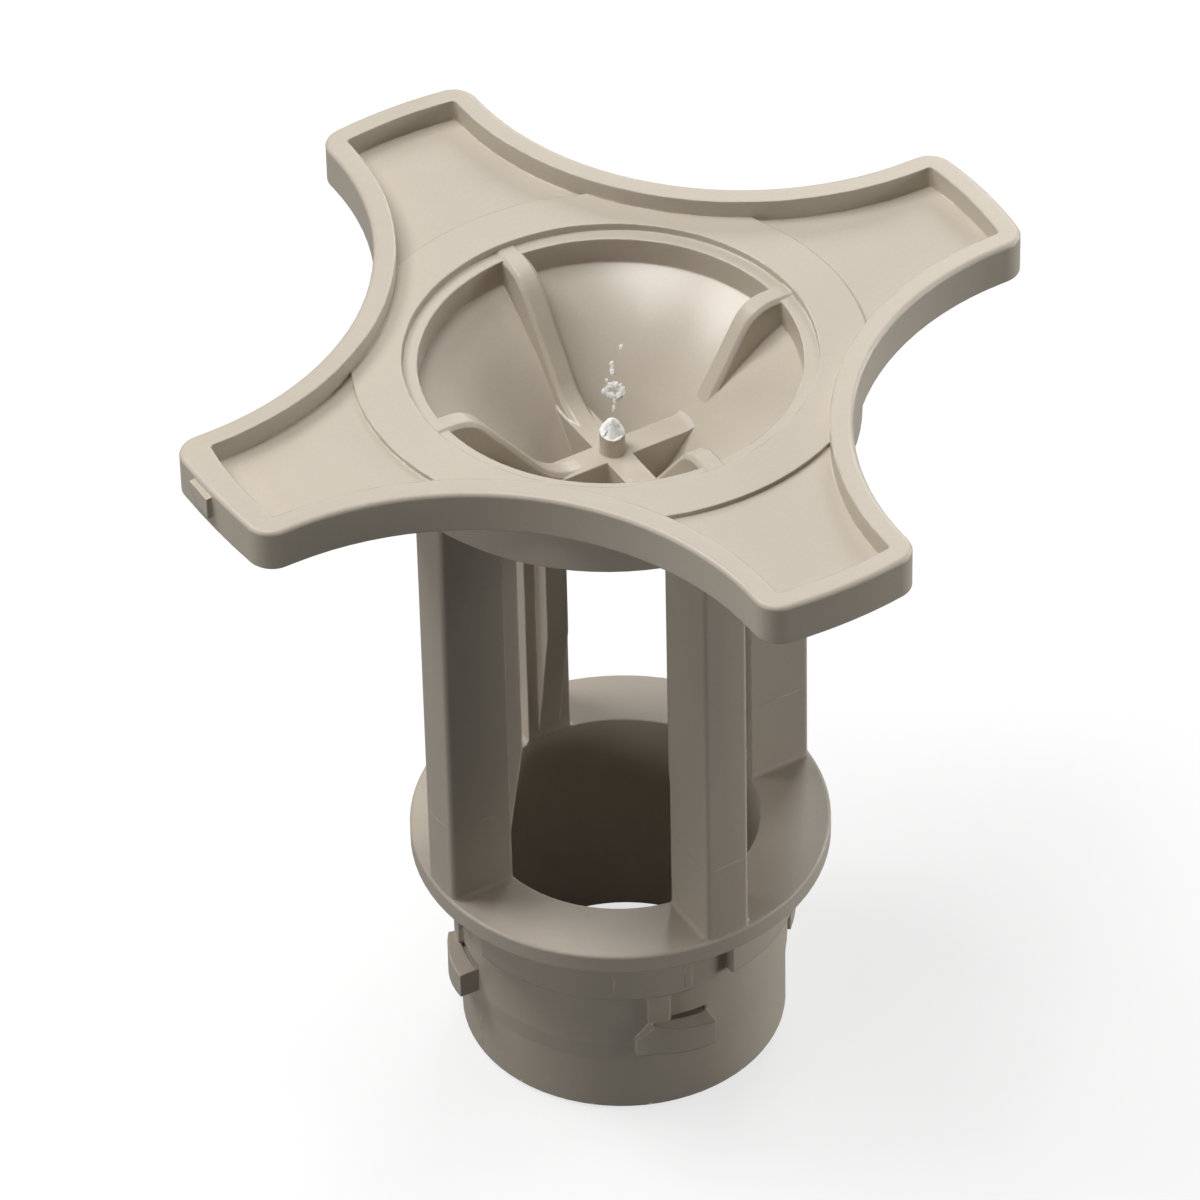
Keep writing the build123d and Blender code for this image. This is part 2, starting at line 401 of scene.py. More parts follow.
class ScuffedHighlightEdge(SharedGroup):
    """Rounded edges for the light, with masks of the edges and of pale rubbed edges, which are
    partly rub wear and partly a painted highlight.
    """

    title = "scuffed_highlight_edge"
    sockets = (
        GroupSocket("Radius", "Float", value=0.35 * MM),
        GroupSocket("Patch Scale", "Float", value=260.0),
        GroupSocket("Normal", "Vector", output=True),
        GroupSocket("Edge", "Float", output=True),
        GroupSocket("Rub Highlight", "Float", output=True),
    )
    samples = 6
    facing_flat = 0.995
    facing_edge = 0.9
    patch_detail = 4.0
    patch_bare = 0.35
    patch_full = 0.68

    def wire(self, desk: NodeDesk, given: bpy.types.NodeOutputs, way_out: bpy.types.Node) -> None:
        """Compares the rounded normal with the true one; a noise breaks up the mask of pale edges,
        which is rub wear and a painted highlight.

        Args:
            desk: The group's desk.
            given: The group's inputs.
            way_out: The node that takes its outputs.
        """
        rounded = desk.add("Bevel", samples=self.samples)
        desk.feed(rounded, "Radius", given["Radius"])
        facing = desk.add("VectorMath", operation="DOT_PRODUCT")
        desk.feed(facing, 0, rounded.outputs[0])
        desk.feed(facing, 1, desk.add("NewGeometry").outputs["Normal"])
        edge = desk.span(facing.outputs["Value"], self.facing_flat, self.facing_edge)
        place = desk.add("TexCoord").outputs["Object"]
        patches = desk.fractal(place, given["Patch Scale"], self.patch_detail)
        # patchy mask of the pale edges: rub wear and a painted highlight along them
        worn_highlight = desk.span(patches, self.patch_bare, self.patch_full)
        desk.feed(way_out, "Normal", rounded.outputs[0])
        desk.feed(way_out, "Edge", edge)
        desk.feed(way_out, "Rub Highlight", desk.maths("MULTIPLY", edge, worn_highlight))


@dataclass(frozen=True)
class Finish:
    """Base of the finishes: a named material with its colour and its gloss."""

    name: str
    colour: Colour
    roughness: float

    def build(self) -> bpy.types.Material:
        """Makes the material: a Principled shader, which the finish then paints.

        Returns:
            The material.
        """
        material = bpy.data.materials.new(self.name)
        material.use_nodes = True
        material.node_tree.nodes.clear()
        desk = NodeDesk(material.node_tree)
        shader = desk.add("BsdfPrincipled")
        desk.feed(desk.add("OutputMaterial"), "Surface", shader.outputs[0])
        desk.feed(shader, "Metallic", 0.0)
        self.paint(desk, shader)
        return material

    def paint(self, desk: NodeDesk, shader: bpy.types.Node) -> None:
        """Wires the shader's sockets; each finish says how."""
        raise NotImplementedError

    def rgba(self, gain: float = 1.0) -> tuple[float, float, float, float]:
        """The finish's colour with a gain, ready for a socket."""
        return (self.colour[0] * gain, self.colour[1] * gain, self.colour[2] * gain, 1.0)


@dataclass(frozen=True)
class SatinMoulding(Finish):
    """The holder's own plastic: satin all over, grained on the trays and smoother in the funnel."""

    index: float = 1.49
    cloud_scale: float = 85.0
    cloud_stretch: float = 0.45
    cloud_depth: float = 0.055
    speck_scale: float = 2400.0
    speck_depth: float = 0.045
    edge_radius: float = 0.32 * MM
    # pale edges: partly rub wear, partly a painted highlight along the edges
    rub_highlight_scale: float = 260.0
    rub_highlight_depth: float = 0.65
    rubbed_and_highlight: Colour = (0.74, 0.69, 0.61)
    tray_roughness: float = 0.58
    funnel_roughness: float = 0.31
    edge_roughness: float = 0.2
    gloss_swing: float = 0.08
    tray_low: float = 83.2 * MM
    tray_high: float = 84.7 * MM
    tray_fade: float = 0.4 * MM
    tray_tilted: float = 0.9
    tray_level: float = 0.98
    funnel_reach: float = 18.3 * MM
    funnel_fade: float = 0.3 * MM
    funnel_low: float = 64.0 * MM
    funnel_high: float = 83.2 * MM
    funnel_end: float = 0.5 * MM
    pit_scale: float = 3000.0
    pit_depth: float = 0.2
    tray_pits: float = 0.8
    ripple: float = 6.0
    relief_strength: float = 0.35
    relief_depth: float = 0.02 * MM

    def paint(self, desk: NodeDesk, shader: bpy.types.Node) -> None:
        """Wires the plastic: colour, gloss and relief by zone of the moulding.

        Args:
            desk: The material's desk.
            shader: Its shader node.
        """
        trays, funnel = self.zones(desk)
        scales = {"Cloud_Scale": self.cloud_scale, "Speck_Scale": self.speck_scale}
        mottle = MeltMottle().place(desk, Stretch=self.cloud_stretch, **scales)
        edge = ScuffedHighlightEdge().place(desk, Radius=self.edge_radius, Patch_Scale=self.rub_highlight_scale)
        # base colour: mottled, with pale edges that are rub wear and a painted highlight
        desk.feed(shader, "Base Color", self.tone(desk, mottle, edge["Rub Highlight"]))

        step = desk.maths("MULTIPLY", trays, self.tray_roughness - self.roughness)
        smooth = desk.maths("MULTIPLY", funnel, self.funnel_roughness - self.roughness)
        gloss = desk.maths("ADD", desk.maths("ADD", step, smooth), self.roughness)
        body = desk.maths("ADD", gloss, desk.swing(mottle["Clouds"], self.gloss_swing), clamp=True)
        sharper = desk.maths("SUBTRACT", body, self.edge_roughness)
        polish = desk.maths("MULTIPLY", edge["Edge"], sharper)
        desk.feed(shader, "Roughness", desk.maths("SUBTRACT", body, polish, clamp=True))

        pits = SparkGrain().place(desk, Pit_Scale=self.pit_scale)["Height"]
        depth = desk.maths("ADD", desk.maths("MULTIPLY", trays, self.tray_pits), self.pit_depth)
        ripple = desk.maths("MULTIPLY", mottle["Clouds"], self.ripple)
        height = desk.maths("ADD", desk.maths("MULTIPLY", pits, depth), ripple)
        desk.relief(shader, height, self.relief_strength, self.relief_depth, edge["Normal"])
        desk.feed(shader, "IOR", self.index)

    def zones(self, desk: NodeDesk) -> tuple[bpy.types.NodeSocket, bpy.types.NodeSocket]:
        """Masks of the zones with a gloss of their own.

        Args:
            desk: The material's desk.

        Returns:
            The mask of the four trays' floors and the mask of the funnel's inside.
        """
        x, y, z = desk.split(desk.add("TexCoord").outputs["Object"])
        squares = desk.maths("ADD", desk.maths("MULTIPLY", x, x), desk.maths("MULTIPLY", y, y))
        radius = desk.maths("SQRT", squares)
        up = desk.split(desk.add("NewGeometry").outputs["Normal"])[2]
        floors = desk.between(z, self.tray_low, self.tray_high, self.tray_fade)
        level = desk.span(up, self.tray_tilted, self.tray_level)
        inside = desk.span(radius, self.funnel_reach + self.funnel_fade, self.funnel_reach)
        cone = desk.between(z, self.funnel_low, self.funnel_high, self.funnel_end)
        return desk.maths("MULTIPLY", floors, level), desk.maths("MULTIPLY", inside, cone)

    def tone(
        self, desk: NodeDesk, mottle: bpy.types.NodeOutputs, rub_highlight: bpy.types.NodeSocket
    ) -> bpy.types.NodeSocket:
        """The plastic's colour, mottled all over and paler on the edges, as rub wear and as a
        painted highlight.

        Args:
            desk: The material's desk.
            mottle: The outputs of the placed mottle.
            rub_highlight: The mask of the pale edges, which are rub wear and a painted highlight.

        Returns:
            The colour's output socket.
        """
        cloud = desk.swing(mottle["Clouds"], self.cloud_depth)
        speck = desk.swing(mottle["Specks"], self.speck_depth)
        toned = desk.add("VectorMath", operation="SCALE")
        desk.feed(toned, 0, self.colour)
        desk.feed(toned, "Scale", desk.maths("ADD", desk.maths("ADD", cloud, speck), 1.0))
        # pale edge colour mixed in: rub wear and a painted highlight
        amount = desk.maths("MULTIPLY", rub_highlight, self.rub_highlight_depth)
        return desk.blend(amount, toned.outputs[0], (*self.rubbed_and_highlight, 1.0))


@dataclass(frozen=True)
class MarkPlastic(Finish):
    """Plastic of a small mark, such as flash in a seam: patched in two tones and grained."""

    cloud_scale: float = 420.0
    speck_scale: float = 3600.0
    stretch: float = 0.6
    cloud_low: float = 0.36
    cloud_high: float = 0.66
    dark_gain: float = 0.8
    light_gain: float = 1.15
    gloss_swing: float = 0.15
    pit_scale: float = 3600.0
    relief_strength: float = 0.4
    relief_depth: float = 0.02 * MM

    def paint(self, desk: NodeDesk, shader: bpy.types.Node) -> None:
        """Wires the plastic with patches in two tones, an uneven gloss and a fine grain.

        Args:
            desk: The material's desk.
            shader: Its shader node.
        """
        scales = {"Cloud_Scale": self.cloud_scale, "Speck_Scale": self.speck_scale}
        mottle = MeltMottle().place(desk, Stretch=self.stretch, **scales)
        shade = desk.span(mottle["Clouds"], self.cloud_low, self.cloud_high)
        tones = desk.blend(shade, self.rgba(self.dark_gain), self.rgba(self.light_gain))
        desk.feed(shader, "Base Color", tones)
        rough = desk.swing(mottle["Specks"], self.gloss_swing)
        desk.feed(shader, "Roughness", desk.maths("ADD", rough, self.roughness, clamp=True))
        pits = SparkGrain().place(desk, Pit_Scale=self.pit_scale)["Height"]
        desk.relief(shader, pits, self.relief_strength, self.relief_depth)


@dataclass(frozen=True)
class WhitenedPlastic(MarkPlastic):
    """Plastic that has been torn or crazed, so it is fibrous, scatters light and looks white."""

    cloud_scale: float = 900.0
    speck_scale: float = 5200.0
    stretch: float = 0.5
    cloud_low: float = 0.3
    cloud_high: float = 0.62
    dark_gain: float = 0.72
    light_gain: float = 1.0
    gloss_swing: float = 0.2
    pit_scale: float = 4200.0
    relief_strength: float = 0.8
    relief_depth: float = 0.05 * MM
    scatter: float = 0.25
    scatter_reach: Colour = (1.0, 0.9, 0.75)
    scatter_depth: float = 0.5 * MM

    def paint(self, desk: NodeDesk, shader: bpy.types.Node) -> None:
        """Wires the plastic as for any mark, and makes it a little translucent.

        Args:
            desk: The material's desk.
            shader: Its shader node.
        """
        super().paint(desk, shader)
        desk.feed(shader, "Subsurface Weight", self.scatter)
        desk.feed(shader, "Subsurface Radius", self.scatter_reach)
        desk.feed(shader, "Subsurface Scale", self.scatter_depth)


class MouldedSkin:
    """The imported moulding's surface, which marks are laid on."""

    def __init__(self, node: bpy.types.Object) -> None:
        """Reads the CAD node's surface without touching it."""
        self.search = BVHTree.FromObject(node, bpy.context.evaluated_depsgraph_get())

    def wall(self, face: Face, radius: float, angle: float, height: float) -> Footing:
        """Finds where a level line along the radius meets a wall of the moulding.

        Args:
            face: The face of the wall that the line comes to.
            radius: The radius that the line starts from.
            angle: The line's angle.
            height: The line's height.

        Returns:
            The point on the wall and the normal there, turned towards the line's start.
        """
        way = polar(face.value, angle, 0.0).normalized()
        place, normal, _, _ = self.search.ray_cast(polar(radius, angle, height), way)
        if place is None:
            raise ValueError(f"no {face.name.lower()} face at {angle} degrees, height {height}")
        if normal.dot(way) > 0:
            normal = -normal
        return place, normal

    def nearest(self, point: Vector, towards: Vector) -> Footing:
        """Nearest surface point, with its normal turned to a side.

        Args:
            point: The point in space.
            towards: The side that the normal is to face.

        Returns:
            The point on the surface and the normal there.
        """
        place, normal, _, _ = self.search.find_nearest(point)
        if normal.dot(towards) < 0:
            normal = -normal
        return place, normal


@dataclass
class Strip:
    """A thin strip of plastic that lies along a path on the moulding's skin.

    A flat grid is laid along the path, its width is made uneven, and each of its points is let
    down onto the surface and lifted, most along the middle, so the strip is a low mound.
    """

    path: Sequence[Footing]
    width: float
    lift: float
    ragged: float
    seed: float
    steps: int = 16
    rows: int = 4
    wobble_rate: float = 7.0
    wobble_shift: float = 1.7
    blunt: int = 6
    sunk: float = 0.004 * MM
    weld: float = 0.001 * MM
    thickness: float = 0.03 * MM

    def at(self, share: float) -> tuple[Vector, Vector, Vector]:
        """Follows the path.

        Args:
            share: A share of the path's length, from 0 to 1.

        Returns:
            The place there, the surface's normal and the way that the path runs.
        """
        last = len(self.path) - 1
        spot = min(max(share, 0.0), 1.0) * last
        k = min(int(spot), last - 1)
        here, ahead = self.path[k], self.path[k + 1]
        place = here[0].lerp(ahead[0], spot - k)
        normal = here[1].lerp(ahead[1], spot - k).normalized()
        return place, normal, (ahead[0] - here[0]).normalized()

    def lay(self, bm: bmesh.types.BMesh, skin: MouldedSkin) -> None:
        """Lays the strip into a mesh.

        Args:
            bm: The mesh that takes the strip.
            skin: The surface that it lies on.
        """
        others = set(bm.faces)
        made = bmesh.ops.create_grid(bm, x_segments=self.steps, y_segments=self.rows, size=0.5)
        for vertex in made["verts"]:
            share = vertex.co.x + 0.5
            side = vertex.co.y * 2.0
            place, normal, run = self.at(share)
            drift = (share * self.wobble_rate + self.seed, self.seed * self.wobble_shift, side)
            wobble = noise.noise(Vector(drift))
            ends = math.sqrt(max(0.0, 1.0 - (2.0 * share - 1.0) ** self.blunt))
            reach = 0.5 * self.width * ends * (1.0 + self.ragged * wobble * 2.0)
            target = place + run.cross(normal).normalized() * side * reach
            ground, facing = skin.nearest(target, normal)
            rise = self.lift * ends * (1.0 - side * side) * (1.0 + self.ragged * wobble)
            vertex.co = ground + facing * (rise - self.sunk)
        bmesh.ops.remove_doubles(bm, verts=made["verts"], dist=self.weld)
        faces = [part for part in bm.faces if part not in others]
        bmesh.ops.recalc_face_normals(bm, faces=faces)
        bmesh.ops.solidify(bm, geom=faces, thickness=self.thickness)


@dataclass
class Piece:
    """Base of the pieces that are added to the moulding."""

    name: str
    finish: Finish
    smooth_angle: float = 50.0

    def shape(self, bm: bmesh.types.BMesh, skin: MouldedSkin) -> None:
        """Fills the mesh; each piece says how."""
        raise NotImplementedError

    def make(self, skin: MouldedSkin) -> bpy.types.Object:
        """Builds the piece, gives it its finish and lets it ride on the moulding.

        Args:
            skin: The surface that the piece sits on.

        Returns:
            The finished object.
        """
        bm = bmesh.new()
        self.shape(bm, skin)
        bmesh.ops.recalc_face_normals(bm, faces=bm.faces[:])
        mesh = bpy.data.meshes.new(self.name)
        bm.to_mesh(mesh)
        bm.free()
        mesh.shade_smooth()
        mesh.set_sharp_from_angle(angle=math.radians(self.smooth_angle))
        found = bpy.data.materials.get(self.finish.name)
        mesh.materials.append(found or self.finish.build())
        thing = bpy.data.objects.new(self.name, mesh)
        bpy.context.scene.collection.objects.link(thing)
        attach(thing, BODY)
        return thing


@dataclass
class TornGate(Piece):
    """The torn crown on the stub of the gate, where the sprue was broken off."""

    radius: float = 1.24 * MM
    back_radius: float = 0.72 * MM
    back_side: float = 60.0
    segments: int = 28
    stub_top: float = 74.55 * MM
    stub_slope: float = math.tan(math.radians(16.0))
    sunk: float = 0.15 * MM
    lip: float = 0.12 * MM
    least_lip: float = 0.3
    peak_reach: float = 0.2 * MM
    peak_rise: float = 1.15 * MM
    peak_power: float = 0.9
    low_side: float = 165.0
    low_drop: float = 0.35 * MM
    rough: float = 0.24 * MM
    fibre_rate: float = 2400.0
    fibre_seed: float = 0.7
    rings: int = 5
    rings_across: float = 7.6

    def shape(self, bm: bmesh.types.BMesh, skin: MouldedSkin) -> None:
        """Raises a stub from a round pulled in at the back, insets its top and tears it up.

        Args:
            bm: The mesh that is filled.
            skin: The moulding's surface, which this piece doesn't need.
        """
        made = bmesh.ops.create_circle(
            bm, cap_ends=True, segments=self.segments, radius=self.radius
        )
        behind = polar(1.0, self.back_side, 0.0).xy
        for vertex in made["verts"]:
            back = max(0.0, vertex.co.xy.normalized().dot(behind))
            reach = self.radius + (self.back_radius - self.radius) * back
            vertex.co = vertex.co.normalized() * reach
        grown = bmesh.ops.extrude_face_region(bm, geom=bm.faces[:])["geom"]
        raised = [part for part in grown if isinstance(part, bmesh.types.BMVert)]
        bmesh.ops.translate(bm, verts=raised, vec=(0.0, 0.0, self.stub_top))
        cap = [part for part in grown if isinstance(part, bmesh.types.BMFace)]
        inset = self.radius / self.rings_across
        for _ in range(self.rings):
            bmesh.ops.inset_region(bm, faces=cap, thickness=inset, use_even_offset=True)
        bmesh.ops.poke(bm, faces=cap)
        for vertex in bm.verts:
            if vertex.co.z > 0.5 * self.stub_top:
                vertex.co.z = self.height(vertex.co)
            else:
                vertex.co.z = self.stub(vertex.co) - self.sunk

    def stub(self, place: Vector) -> float:
        """Height of the stub's slanting top over a place."""
        return self.stub_top + self.stub_slope * place.y

    def height(self, place: Vector) -> float:
        """Works out the torn surface over the stub.

        Args:
            place: The place on the stub.

        Returns:
            The height there.
        """
        peak = polar(self.peak_reach, self.back_side, 0.0)
        spread = (place.xy - peak.xy).length / self.radius
        low = max(0.0, place.xy.dot(polar(1.0, self.low_side, 0.0).xy) / self.radius)
        spot = (place.x * self.fibre_rate, place.y * self.fibre_rate, self.fibre_seed)
        fibre = self.rough * noise.noise(Vector(spot))
        rise = self.peak_rise * max(0.0, 1.0 - spread) ** self.peak_power
        torn = rise - self.low_drop * low + fibre
        return self.stub(place) + max(self.lip + torn, self.least_lip * self.lip)


@dataclass(frozen=True)
class Scar:
    """One whitened stroke: its ends as angle and height, its width and lift; lengths in mm."""

    start: tuple[float, float]
    end: tuple[float, float]
    width: float
    lift: float

    def at(self, share: float) -> tuple[float, float]:
        """Angle and height in metres at a share of the stroke."""
        angle, height = (a + share * (b - a) for a, b in zip(self.start, self.end))
        return angle, height * MM


@dataclass
class FunnelScars(Piece):
    """Whitened strokes and spots on the cone beside the gate."""

    scars: tuple[Scar, ...] = (
        Scar((55.6, 75.60), (53.8, 75.58), 0.52, 0.04),
        Scar((59.3, 74.65), (59.0, 73.56), 0.42, 0.05),
        Scar((66.4, 72.44), (62.1, 72.46), 0.50, 0.06),
        Scar((64.2, 72.38), (59.3, 73.07), 0.52, 0.07),
        Scar((59.5, 73.05), (51.4, 72.57), 0.66, 0.09),
        Scar((51.2, 72.61), (56.8, 71.91), 0.66, 0.09),
        Scar((56.6, 71.99), (63.8, 72.34), 0.50, 0.06),
        Scar((56.1, 72.87), (53.6, 72.39), 0.50, 0.06),
        Scar((63.3, 73.26), (61.5, 73.28), 0.38, 0.03),
        Scar((57.4, 71.93), (57.7, 71.47), 0.34, 0.04),
        Scar((57.7, 71.47), (59.1, 70.91), 0.26, 0.03),
    )
    start_radius: float = 4.2 * MM
    ragged: float = 0.45
    first_seed: float = 1.0
    seed_step: float = 3.1

    def shape(self, bm: bmesh.types.BMesh, skin: MouldedSkin) -> None:
        """Lays each stroke on the cone.

        Args:
            bm: The mesh that is filled.
            skin: The surface that the strokes lie on.
        """
        for k, scar in enumerate(self.scars):
            spots = [scar.at(share) for share in shares(4)]
            path = [skin.wall(Face.INNER, self.start_radius, *spot) for spot in spots]
            seed = self.first_seed + self.seed_step * k
            Strip(path, scar.width * MM, scar.lift * MM, self.ragged, seed).lay(bm, skin)


@dataclass
class LegLines(Piece):
    """Faint raised lines where the cores that form the legs met, a little above the flange."""

    level: float = 34.2 * MM
    half_thickness: float = 2.4 * MM
    inner: float = 14.6 * MM
    outer: float = 20.6 * MM
    side_gap: float = 0.4 * MM
    face_gap: float = 0.5 * MM
    drift: float = 0.12 * MM
    drift_rates: tuple[float, float, float] = (2.0, 3.0, 5.0)
    width: float = 0.2 * MM
    lift: float = 0.035 * MM
    ragged: float = 0.5
    seed_step: float = 7.0

    def shape(self, bm: bmesh.types.BMesh, skin: MouldedSkin) -> None:
        """Runs one line round the two sides and the outer face of each leg.

        Args:
            bm: The mesh that is filled.
            skin: The surface that the lines lie on.
        """
        for k in range(4):
            turn = Matrix.Rotation(math.radians(90.0 * k), 3, "Z")
            for j, (start, end, outward) in enumerate(self.sides()):
                path = []
                for share in shares(8):
                    drift = self.drift * noise.noise(self.drift_spot(share, j, k))
                    spot = start.lerp(end, share) + Vector((0.0, 0.0, self.level + drift))
                    path.append(skin.nearest(turn @ spot, turn @ outward))
                seed = self.seed_step * k + j
                Strip(path, self.width, self.lift, self.ragged, seed).lay(bm, skin)

    def drift_spot(self, share: float, side: int, leg: int) -> Vector:
        """Where the noise of the drift is read for a share of one side's line."""
        along, across, around = self.drift_rates
        return Vector((share * along, side * across, leg * around))

    def sides(self) -> list[tuple[Vector, Vector, Vector]]:
        """Lists the line's three stretches on the leg at +X, at no height.

        Returns:
            The start, the end and the way out of the plastic, for each.
        """
        half = self.half_thickness
        short = self.outer - self.side_gap
        reach = half - self.face_gap
        flat = (
            ((self.inner, -half), (short, -half), (0.0, -1.0)),
            ((self.outer, -reach), (self.outer, reach), (1.0, 0.0)),
            ((short, half), (self.inner, half), (0.0, 1.0)),
        )
        return [tuple(Vector((*point, 0.0)) for point in stretch) for stretch in flat]


@dataclass(frozen=True)
class SeamRun:
    """A set of like seam lines up the outside of the moulding's foot."""

    angles: tuple[float, ...]
    bottom: float
    top: float
    width: float
    lift: float
    ragged: float
    steps: int
    wander: float
    wander_seed: float
    first_seed: float


@dataclass
class SpigotSeams(Piece):
    """Fins of flash down the spigot, and fainter lines down the joints of the collar's mould."""

    fins: SeamRun = SeamRun(
        angles=(178.3, -1.7),
        bottom=0.6 * MM,
        top=8.6 * MM,
        width=0.28 * MM,
        lift=0.07 * MM,
        ragged=1.1,
        steps=40,
        wander=0.9,
        wander_seed=0.0,
        first_seed=2.0,
    )
    collar: SeamRun = SeamRun(
        angles=(-123.4, -100.0, 56.6, 80.0),
        bottom=16.5 * MM,
        top=22.3 * MM,
        width=0.224 * MM,
        lift=0.035 * MM,
        ragged=0.6,
        steps=24,
        wander=0.15,
        wander_seed=50.0,
        first_seed=70.0,
    )
    start_radius: float = 24.0 * MM
    wander_rate: float = 400.0
    wander_plane: float = 0.3
    wander_step: float = 9.0
    seed_step: float = 11.0

    def shape(self, bm: bmesh.types.BMesh, skin: MouldedSkin) -> None:
        """Runs one uneven line down each seam.

        Args:
            bm: The mesh that is filled.
            skin: The surface that the lines lie on.
        """
        for run in (self.fins, self.collar):
            for k, angle in enumerate(run.angles):
                path = self.path(skin, run, angle, run.wander_seed + self.wander_step * k)
                seed = run.first_seed + self.seed_step * k
                Strip(path, run.width, run.lift, run.ragged, seed, run.steps).lay(bm, skin)

    def path(self, skin: MouldedSkin, run: SeamRun, angle: float, seed: float) -> list[Footing]:
        """Follows the outside upwards at an angle that drifts a little.

        Args:
            skin: The surface that the line lies on.
            run: The set that the line is of.
            angle: The line's angle.
            seed: Start of the drift's noise.

        Returns:
            The points with their normals.
        """
        path = []
        for share in shares(12):
            height = run.bottom + (run.top - run.bottom) * share
            spot = Vector((height * self.wander_rate, seed, self.wander_plane))
            drift = run.wander * noise.noise(spot)
            path.append(skin.wall(Face.OUTER, self.start_radius, angle + drift, height))
        return path


@dataclass
class RimFlecks(Piece):
    """Small pale burrs along the bottom edge of the spigot, each with its angle and length."""

    spots: tuple[tuple[float, float], ...] = (
        (-132.2, 0.5 * MM),
        (-111.8, 0.45 * MM),
        (-160.0, 0.35 * MM),
        (-75.0, 0.3 * MM),
        (-20.0, 0.35 * MM),
        (64.0, 0.4 * MM),
        (120.0, 0.3 * MM),
    )
    height: float = 0.5 * MM
    spigot_radius: float = 16.4 * MM
    start_radius: float = 24.0 * MM
    width: float = 0.22 * MM
    lift: float = 0.05 * MM
    ragged: float = 1.0
    first_seed: float = 0.5
    seed_step: float = 5.0

    def shape(self, bm: bmesh.types.BMesh, skin: MouldedSkin) -> None:
        """Lays each burr as a short strip along the rim.

        Args:
            bm: The mesh that is filled.
            skin: The surface that the burrs lie on.
        """
        for k, (angle, length) in enumerate(self.spots):
            spread = math.degrees(length / self.spigot_radius)
            turns = [angle + spread * (share - 0.5) for share in shares(4)]
            path = [skin.wall(Face.OUTER, self.start_radius, at, self.height) for at in turns]
            seed = self.first_seed + self.seed_step * k
            Strip(path, self.width, self.lift, self.ragged, seed).lay(bm, skin)


@dataclass
class PhotoCamera:
    """A camera with the photograph's place, tilt and lens."""

    name: str = "photo_camera"
    azimuth: float = -29.991
    elevation: float = 40.755
    roll: float = -1.330
    distance: float = 805.3 * MM
    aim_right: float = -1.531 * MM
    aim_up: float = 53.198 * MM
    lens: float = 247.92
    sensor: float = 36.0
    near: float = 0.05
    far: float = 20.0

    def build(self) -> bpy.types.Object:
        """Places the camera and makes it the scene's own.

        Returns:
            The camera object.
        """
        right = polar(1.0, self.azimuth, 0.0)
        back = sightline(self.azimuth, self.elevation)
        up = back.cross(right)
        aim = right * self.aim_right + Vector((0.0, 0.0, self.aim_up))
        roll = math.radians(self.roll)
        turned_right = right * math.cos(roll) + up * math.sin(roll)
        turned_up = up * math.cos(roll) - right * math.sin(roll)
        data = bpy.data.cameras.new(self.name)
        data.sensor_fit = "HORIZONTAL"
        data.sensor_width = self.sensor
        data.lens = self.lens
        data.clip_start = self.near
        data.clip_end = self.far
        camera = bpy.data.objects.new(self.name, data)
        axes = Matrix((turned_right, turned_up, back)).transposed()
        camera.matrix_world = Matrix.Translation(aim + back * self.distance) @ axes.to_4x4()
        bpy.context.scene.collection.objects.link(camera)
        bpy.context.scene.camera = camera
        return camera


@dataclass(frozen=True)
class Softbox:
    """One soft light: where it stands, how strong it is, how far away and how large."""

    role: Role
    azimuth: float
    elevation: float
    power: float
    distance: float = 0.8
    size: float = 0.28

    def hang(self, aim: Vector) -> None:
        """Hangs the light and turns it towards a point.

        Args:
            aim: The point that it faces.
        """
        back = sightline(self.azimuth, self.elevation)
        data = bpy.data.lights.new(self.role.value, "AREA")
        data.shape = "RECTANGLE"
        data.size = self.size
        data.size_y = self.size
        data.energy = self.power
        light = bpy.data.objects.new(self.role.value, data)
        light.location = aim + back * self.distance
        light.rotation_mode = "QUATERNION"
        light.rotation_quaternion = (-back).to_track_quat("-Z", "Y")
        bpy.context.scene.collection.objects.link(light)
        LOG.info("light %s: %.2f W", self.role.value, self.power)


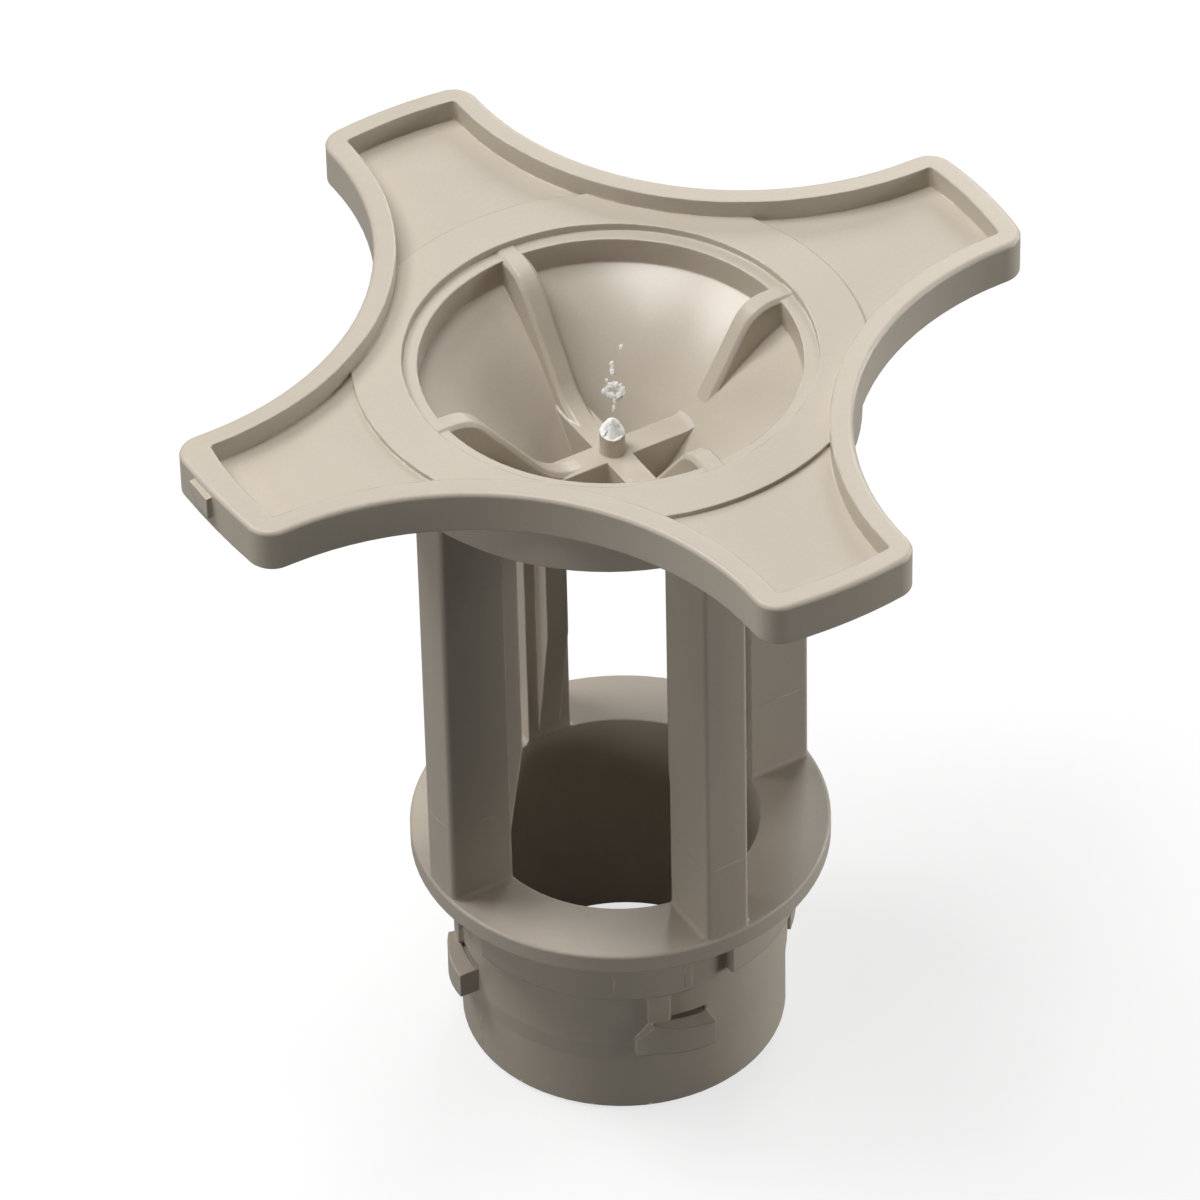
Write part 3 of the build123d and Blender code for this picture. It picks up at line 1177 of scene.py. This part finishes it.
@dataclass
class Studio:
    """The pale floor, the white surround and the soft lights."""

    floor_size: float = 6.0
    floor_drop: float = 0.02 * MM
    floor_bounce: Colour = (0.12, 0.12, 0.12)
    floor_shown: Colour = (0.9, 0.9, 0.9)
    floor_white: float = 0.72
    surround: Colour = (1.0, 1.0, 1.0)
    ambient: Colour = (0.02, 0.02, 0.02)
    gloss_share: float = 0.12
    aim: Vector = field(default_factory=lambda: Vector((0.0, 0.0, 0.05)))
    lights: tuple[Softbox, ...] = (
        Softbox(Role.OVERHEAD, 180.0, 84.0, 1.5),
        Softbox(Role.KEY, 270.0, 75.0, 2.75),
        Softbox(Role.FILL, 55.0, 6.0, 2.6),
        Softbox(Role.BACK_RIGHT, 135.0, 30.0, 1.95),
        Softbox(Role.BACK_LEFT, 225.0, 54.0, 3.1),
        Softbox(Role.SIDE_RIGHT, 88.0, 6.0, 2.2),
        Softbox(Role.SIDE_LEFT, 276.0, 7.0, 1.5),
    )

    def build(self) -> None:
        """Makes the floor, the surround and the lights, and sets the view transform."""
        self.lay_floor()
        self.paint_surround()
        for light in self.lights:
            light.hang(self.aim)
        bpy.context.scene.view_settings.view_transform = "Standard"

    def lay_floor(self) -> None:
        """Lays a large plain floor that the holder stands on."""
        bm = bmesh.new()
        bmesh.ops.create_grid(bm, x_segments=2, y_segments=2, size=self.floor_size / 2)
        bmesh.ops.translate(bm, verts=bm.verts[:], vec=(0.0, 0.0, -self.floor_drop))
        mesh = bpy.data.meshes.new("floor")
        bm.to_mesh(mesh)
        bm.free()
        floor = bpy.data.objects.new("floor", mesh)
        bpy.context.scene.collection.objects.link(floor)
        mesh.materials.append(self.floor_paint())
        LOG.info("floor: %.1f m square", self.floor_size)

    def floor_paint(self) -> bpy.types.Material:
        """White to the camera and in reflections, and a dim grey for the light that it returns.

        Returns:
            The floor's material.
        """
        material = bpy.data.materials.new("floor_paint")
        material.use_nodes = True
        material.node_tree.nodes.clear()
        desk = NodeDesk(material.node_tree)
        out = desk.add("OutputMaterial")
        returned = desk.add("BsdfDiffuse")
        desk.feed(returned, "Color", (*self.floor_bounce, 1.0))
        shown = desk.add("BsdfDiffuse")
        desk.feed(shown, "Color", (*self.floor_shown, 1.0))
        glow = desk.add("Emission")
        desk.feed(glow, "Color", (*self.surround, 1.0))
        seen = desk.add("MixShader")
        desk.feed(seen, 0, self.floor_white)
        desk.feed(seen, 1, shown.outputs[0])
        desk.feed(seen, 2, glow.outputs[0])
        choice = desk.add("MixShader")
        desk.feed(choice, 0, self.direct(desk))
        desk.feed(choice, 1, returned.outputs[0])
        desk.feed(choice, 2, seen.outputs[0])
        desk.feed(out, "Surface", choice.outputs[0])
        return material

    def direct(self, desk: NodeDesk) -> bpy.types.NodeSocket:
        """Masks the rays that show the background: all from the camera or through glass.

        Args:
            desk: The desk of the material or world that needs the mask.

        Returns:
            The mask's output socket, at a low share for reflections.
        """
        rays = desk.add("LightPath").outputs
        clear = desk.maths("MAXIMUM", rays["Is Camera Ray"], rays["Is Transmission Ray"])
        gloss = desk.maths("MULTIPLY", rays["Is Glossy Ray"], self.gloss_share)
        return desk.maths("MAXIMUM", clear, gloss)

    def paint_surround(self) -> None:
        """Surrounds the scene with white for the camera and a dim even light for the rest."""
        world = bpy.data.worlds.new("surround")
        world.use_nodes = True
        world.node_tree.nodes.clear()
        desk = NodeDesk(world.node_tree)
        out = desk.add("OutputWorld")
        shade = desk.add("Background")
        mixed = desk.blend(self.direct(desk), (*self.ambient, 1.0), (*self.surround, 1.0))
        desk.feed(shade, "Color", mixed)
        desk.feed(out, "Surface", shade.outputs[0])
        bpy.context.scene.world = world


@dataclass
class WashArmHolder:
    """The moulding with its finish and the marks that lie on it."""

    plastic: SatinMoulding = SatinMoulding("satin_moulding", (0.475, 0.42, 0.346), 0.40)
    torn: WhitenedPlastic = WhitenedPlastic("torn_plastic", (0.93, 0.92, 0.89), 0.5)
    flash: MarkPlastic = MarkPlastic("thin_flash", (0.50, 0.455, 0.385), 0.38)

    def dress(self, node: bpy.types.Object) -> None:
        """Gives the CAD node its plastic.

        Args:
            node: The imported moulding.
        """
        plastic = self.plastic.build()
        for slot in node.material_slots:
            slot.material = plastic

    def pieces(self) -> Iterable[Piece]:
        """Lists the pieces that are added to the moulding.

        Yields:
            Each piece, in the order of its making.
        """
        yield TornGate("torn_gate", self.torn, smooth_angle=28.0)
        yield FunnelScars("funnel_scars", self.torn)
        yield LegLines("leg_lines", self.flash)
        yield SpigotSeams("spigot_seams", self.flash)
        yield RimFlecks("rim_flecks", self.torn)


def report(thing: bpy.types.Object) -> None:
    """Logs a piece's name and how many faces it has."""
    LOG.info("%s: %d faces", thing.name, len(thing.data.polygons))


def main() -> None:
    """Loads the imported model, dresses it, adds the pieces and sets up the studio."""
    logging.basicConfig(level=logging.INFO, format="%(name)s: %(message)s")
    for thing in list(bpy.data.objects):
        bpy.data.objects.remove(thing)
    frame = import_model()
    node = frame["nodes"][NODE]
    camera = PhotoCamera().build()
    LOG.info("camera at %s", tuple(round(v, 4) for v in camera.matrix_world.translation))
    Studio().build()
    skin = MouldedSkin(node)
    holder = WashArmHolder()
    holder.dress(node)
    report(node)
    for piece in holder.pieces():
        report(piece.make(skin))


if __name__ == "__main__":
    main()
